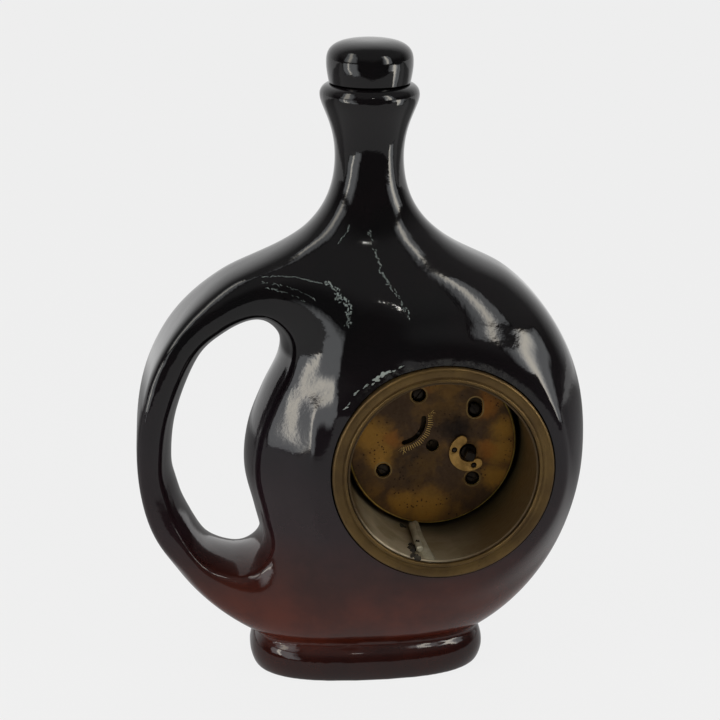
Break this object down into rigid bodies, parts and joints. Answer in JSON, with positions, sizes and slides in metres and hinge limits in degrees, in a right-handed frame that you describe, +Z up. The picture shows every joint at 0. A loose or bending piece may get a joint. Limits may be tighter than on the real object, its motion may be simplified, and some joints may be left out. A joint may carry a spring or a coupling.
{
  "type": "pottery jug",
  "caption": "Flask-shaped glazed pottery jug with a domed stopper, a handle formed by a hole through the body, and a wind-up clock movement in a brass case set through the body.",
  "frame": {"origin": "on the floor under the middle of the whole object's box", "axes": "+Z up through the neck; +X towards the handle; +Y towards the open rear of the clock case, where it is wound; -Y towards the dial"},
  "size_m": [0.1877, 0.076, 0.268],
  "materials": {
    "dark_glaze": "gloss",
    "aged_brass": "tarnished",
    "dull_tin": "dull",
    "dark_steel": "darkened",
    "spring_steel": "polished",
    "blued_steel": "blued",
    "dial_enamel": "satin",
    "clear_glass": "clear"
  },
  "bodies": {
    "jug": {"jug_body": "dark_glaze", "rear_ring": "aged_brass", "case_sleeve": "dull_tin", "retaining_post": "dull_tin", "movement_cup": "aged_brass", "plate_screw_1": "dark_steel", "plate_screw_2": "dark_steel", "plate_screw_3": "dark_steel", "plate_screw_4": "dark_steel", "key_keeper": "aged_brass", "keeper_rivet_1": "dark_steel", "keeper_rivet_2": "dark_steel", "back_plate": "aged_brass", "front_plate": "aged_brass", "pillar_1": "dark_steel", "pillar_2": "dark_steel", "pillar_3": "dark_steel", "pillar_4": "dark_steel", "hairspring": "spring_steel", "dial": "dial_enamel", "sight_ring": "aged_brass", "dial_glass": "clear_glass", "front_bezel": "aged_brass"},
    "stopper": {"stopper": "dark_glaze"},
    "winding_arbor": {"winding_arbor": "dark_steel"},
    "barrel": {"mainspring_barrel": "aged_brass", "mainspring": "spring_steel"},
    "centre": {"centre_wheel": "aged_brass", "cannon_pinion": "aged_brass", "minute_hand": "blued_steel"},
    "third": {"third_wheel": "aged_brass"},
    "escape": {"escape_wheel": "aged_brass"},
    "pallet": {"pallet_lever": "dark_steel"},
    "balance": {"balance_wheel": "aged_brass"},
    "regulator": {"regulator_lever": "dark_steel"},
    "minute_wheel": {"minute_wheel": "aged_brass"},
    "hour": {"hour_wheel": "aged_brass", "hour_hand": "blued_steel"}
  },
  "joints": [
    {"name": "stopper_lift", "type": "slide", "parent": "jug", "child": "stopper", "axis": [0, 0, 1], "range_m": [0, 0.04]},
    {"name": "centre_turn", "type": "hinge", "parent": "jug", "child": "centre", "pos_m": [-0.0303, 0, 0.0968], "axis": [0, 1, 0], "continuous": true},
    {"name": "barrel_turn", "type": "hinge", "parent": "jug", "child": "barrel", "pos_m": [-0.0457, 0, 0.0934], "axis": [0, 1, 0], "continuous": true},
    {"name": "third_turn", "type": "hinge", "parent": "jug", "child": "third", "pos_m": [-0.02745, 0, 0.08618], "axis": [0, 1, 0], "continuous": true},
    {"name": "escape_turn", "type": "hinge", "parent": "jug", "child": "escape", "pos_m": [-0.01813, 0, 0.0892], "axis": [0, 1, 0], "continuous": true},
    {"name": "minute_wheel_turn", "type": "hinge", "parent": "jug", "child": "minute_wheel", "pos_m": [-0.0223, 0, 0.0968], "axis": [0, 1, 0], "continuous": true},
    {"name": "hour_turn", "type": "hinge", "parent": "jug", "child": "hour", "pos_m": [-0.0303, 0, 0.0968], "axis": [0, 1, 0], "continuous": true},
    {"name": "winding_turn", "type": "hinge", "parent": "jug", "child": "winding_arbor", "pos_m": [-0.0457, 0, 0.0934], "axis": [0, 1, 0], "range_deg": [0, 1440]},
    {"name": "regulator_swing", "type": "hinge", "parent": "jug", "child": "regulator", "pos_m": [-0.0165, 0, 0.1082], "axis": [0, 1, 0], "range_deg": [-36, 36]},
    {"name": "pallet_rock", "type": "hinge", "parent": "jug", "child": "pallet", "pos_m": [-0.0172, 0, 0.0972], "axis": [0, 1, 0], "range_deg": [-6, 6]},
    {"name": "balance_swing", "type": "hinge", "parent": "jug", "child": "balance", "pos_m": [-0.0165, 0, 0.1082], "axis": [0, 1, 0], "range_deg": [-120, 120], "stiffness_Nm_per_rad": 0.000002}
  ],
  "couplings": [
    {"joint": "hour_turn", "follows": "centre_turn", "ratio": 0.083333},
    {"joint": "minute_wheel_turn", "follows": "centre_turn", "ratio": -0.33333},
    {"joint": "barrel_turn", "follows": "centre_turn", "ratio": -0.54546},
    {"joint": "third_turn", "follows": "centre_turn", "ratio": -4.5},
    {"joint": "escape_turn", "follows": "centre_turn", "ratio": 20}
  ]
}
